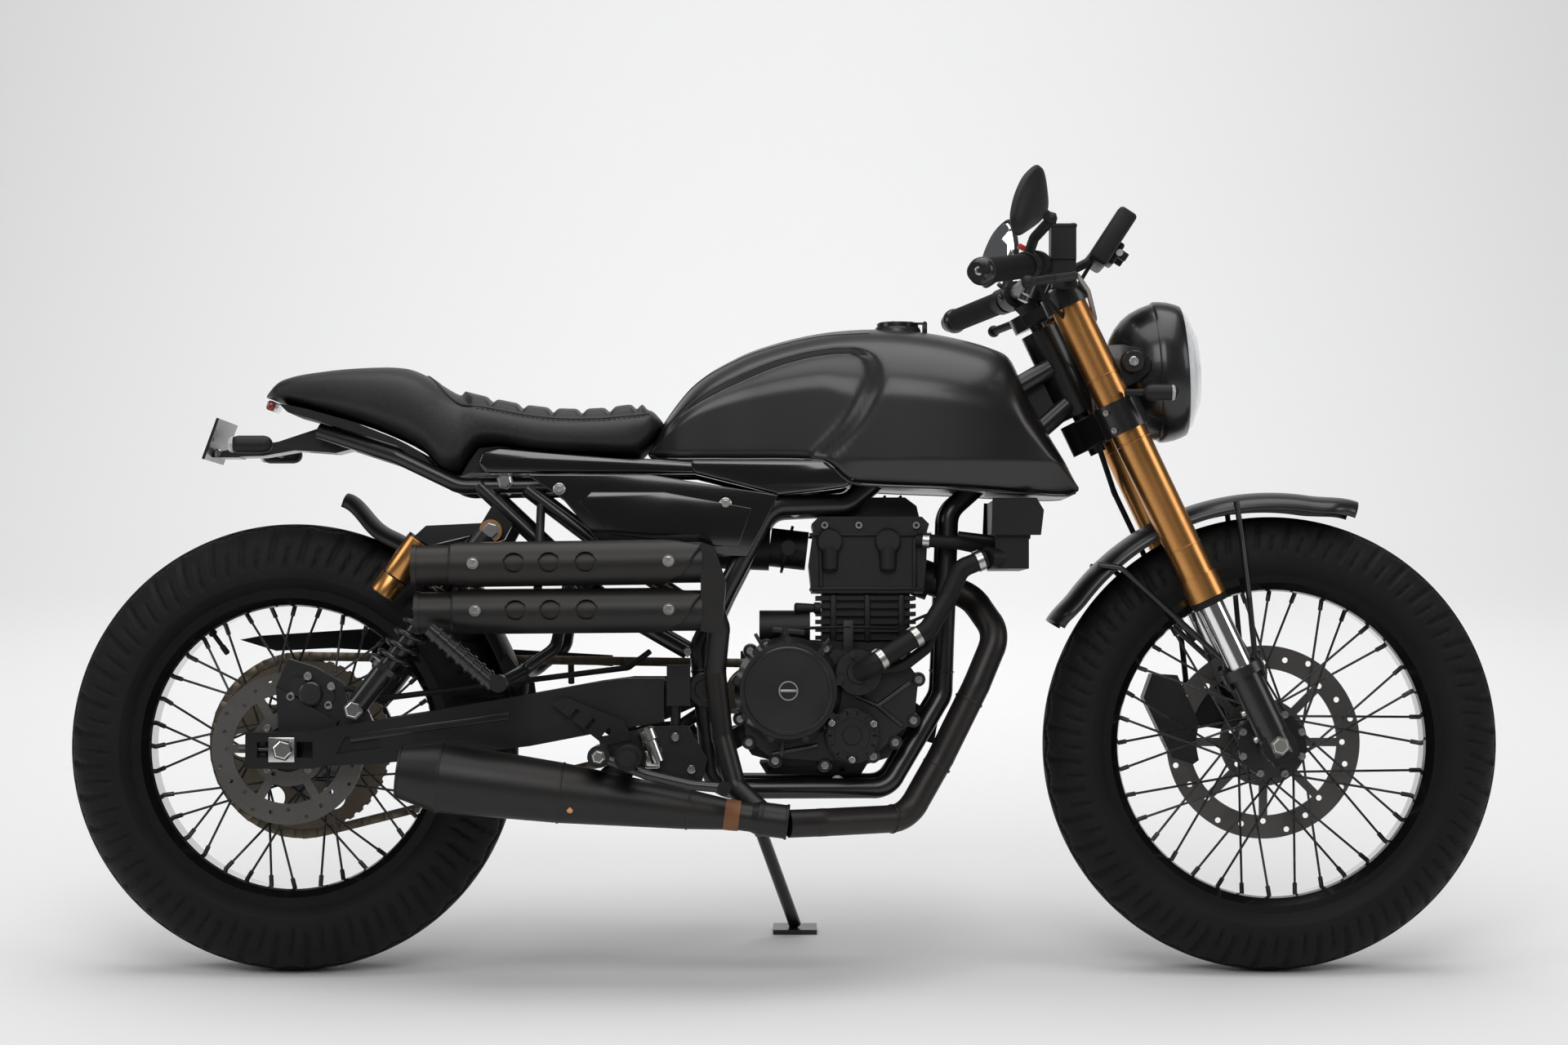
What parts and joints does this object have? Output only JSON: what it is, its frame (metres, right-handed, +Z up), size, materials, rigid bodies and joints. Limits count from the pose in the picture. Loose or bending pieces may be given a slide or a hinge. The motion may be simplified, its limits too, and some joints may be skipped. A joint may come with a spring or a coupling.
{
  "type": "cafe racer motorcycle",
  "caption": "Cafe racer motorcycle with spoked wheels, gold fork, round headlight, low bars, quilted seat and high twin silencers, leaning on its side stand.",
  "frame": {"origin": "centre of the bounding box at floor level", "axes": "+X forward, +Y to the rider's left, +Z up from the floor; the machine leans 8 degrees towards +Y on its side stand"},
  "size_m": [1.9918, 0.7778, 1.124],
  "materials": {
    "main_frame": "satin black",
    "subframe": "satin black",
    "crankcase": "matte black",
    "cylinder_head": "matte black",
    "engine_covers": "satin black",
    "radiator": "matte black",
    "coolant_hoses": "matte",
    "throttle_body": "dark cast",
    "exhaust_header": "heat tinted",
    "lower_silencer": "brushed, heat tinted",
    "upper_silencers": "brushed, heat tinted",
    "heat_shields": "polished",
    "fuel_tank": "satin black",
    "seat": "black, stitched",
    "seat_base": "gloss black",
    "side_panels": "gloss black",
    "tail_bracket": "black",
    "rear_indicators": "black with smoked lens",
    "swingarm": "satin black",
    "shock_absorbers": "gold anodised",
    "shock_springs": "gloss black",
    "rear_mudguard": "matte black",
    "chain": "oiled",
    "chain_guard": "black",
    "rear_caliper": "dark",
    "rear_brake_hose": "black",
    "footrest_brackets": "black",
    "foot_levers": "black",
    "pillion_footrests": "satin",
    "filler_cap": "black",
    "side_stand": "black",
    "yokes": "black",
    "fork_tubes": "gold anodised",
    "fork_stanchions": "polished",
    "fork_bottoms": "black",
    "handlebar": "black",
    "grips": "ribbed",
    "hand_controls": "mixed black and silver",
    "mirrors": "black shell, silvered glass",
    "instrument": "black",
    "headlight": "gloss black",
    "headlight_lens": "clear",
    "front_indicators": "black with clear lens",
    "front_mudguard": "satin black",
    "front_caliper": "dark",
    "front_brake_hose": "black",
    "front_tyre": "patterned tread",
    "front_rim": "gloss black",
    "front_hub": "black",
    "front_spokes": "black",
    "front_disc": "machined",
    "rear_tyre": "patterned tread",
    "rear_rim": "gloss black",
    "rear_hub": "black",
    "rear_spokes": "black",
    "rear_disc": "machined",
    "rear_sprocket": "oiled"
  },
  "bodies": {
    "frame": {"main_frame": "main_frame", "subframe": "subframe", "crankcase": "crankcase", "cylinder_head": "cylinder_head", "engine_covers": "engine_covers", "radiator": "radiator", "coolant_hoses": "coolant_hoses", "throttle_body": "throttle_body", "exhaust_header": "exhaust_header", "lower_silencer": "lower_silencer", "upper_silencers": "upper_silencers", "heat_shields": "heat_shields", "fuel_tank": "fuel_tank", "seat": "seat", "seat_base": "seat_base", "side_panels": "side_panels", "tail_bracket": "tail_bracket", "rear_indicators": "rear_indicators", "swingarm": "swingarm", "shock_absorbers": "shock_absorbers", "shock_springs": "shock_springs", "rear_mudguard": "rear_mudguard", "chain": "chain", "chain_guard": "chain_guard", "rear_caliper": "rear_caliper", "rear_brake_hose": "rear_brake_hose", "footrest_brackets": "footrest_brackets", "foot_levers": "foot_levers", "pillion_footrests": "pillion_footrests"},
    "filler_cap": {"filler_cap": "filler_cap"},
    "side_stand": {"side_stand": "side_stand"},
    "steering": {"yokes": "yokes", "fork_tubes": "fork_tubes", "fork_stanchions": "fork_stanchions", "fork_bottoms": "fork_bottoms", "handlebar": "handlebar", "grips": "grips", "hand_controls": "hand_controls", "mirrors": "mirrors", "instrument": "instrument", "headlight": "headlight", "headlight_lens": "headlight_lens", "front_indicators": "front_indicators", "front_mudguard": "front_mudguard", "front_caliper": "front_caliper", "front_brake_hose": "front_brake_hose"},
    "front_wheel": {"front_tyre": "front_tyre", "front_rim": "front_rim", "front_hub": "front_hub", "front_spokes": "front_spokes", "front_disc": "front_disc"},
    "rear_wheel": {"rear_tyre": "rear_tyre", "rear_rim": "rear_rim", "rear_hub": "rear_hub", "rear_spokes": "rear_spokes", "rear_disc": "rear_disc", "rear_sprocket": "rear_sprocket"}
  },
  "joints": [
    {"name": "steering", "type": "hinge", "parent": "frame", "child": "steering", "pos_m": [0.38459, -0.01393, 0.83379], "axis": [-0.4305, 0.1256, 0.8938], "range_deg": [-30, 30]},
    {"name": "front_wheel_spin", "type": "hinge", "parent": "steering", "child": "front_wheel", "pos_m": [0.679, -0.0869, 0.31456], "axis": [0, 0.9903, -0.1392], "continuous": true},
    {"name": "rear_wheel_spin", "type": "hinge", "parent": "frame", "child": "rear_wheel", "pos_m": [-0.684, -0.0876, 0.30961], "axis": [0, 0.9903, -0.1392], "continuous": true},
    {"name": "side_stand", "type": "hinge", "parent": "frame", "child": "side_stand", "pos_m": [-0.044, 0.01023, 0.20094], "axis": [0, 0.8757, 0.4828], "range_deg": [0, 95]},
    {"name": "filler_cap", "type": "hinge", "parent": "frame", "child": "filler_cap", "pos_m": [0.197, -0.00512, 0.89645], "axis": [0, 0.9903, -0.1392], "range_deg": [0, 80]}
  ]
}
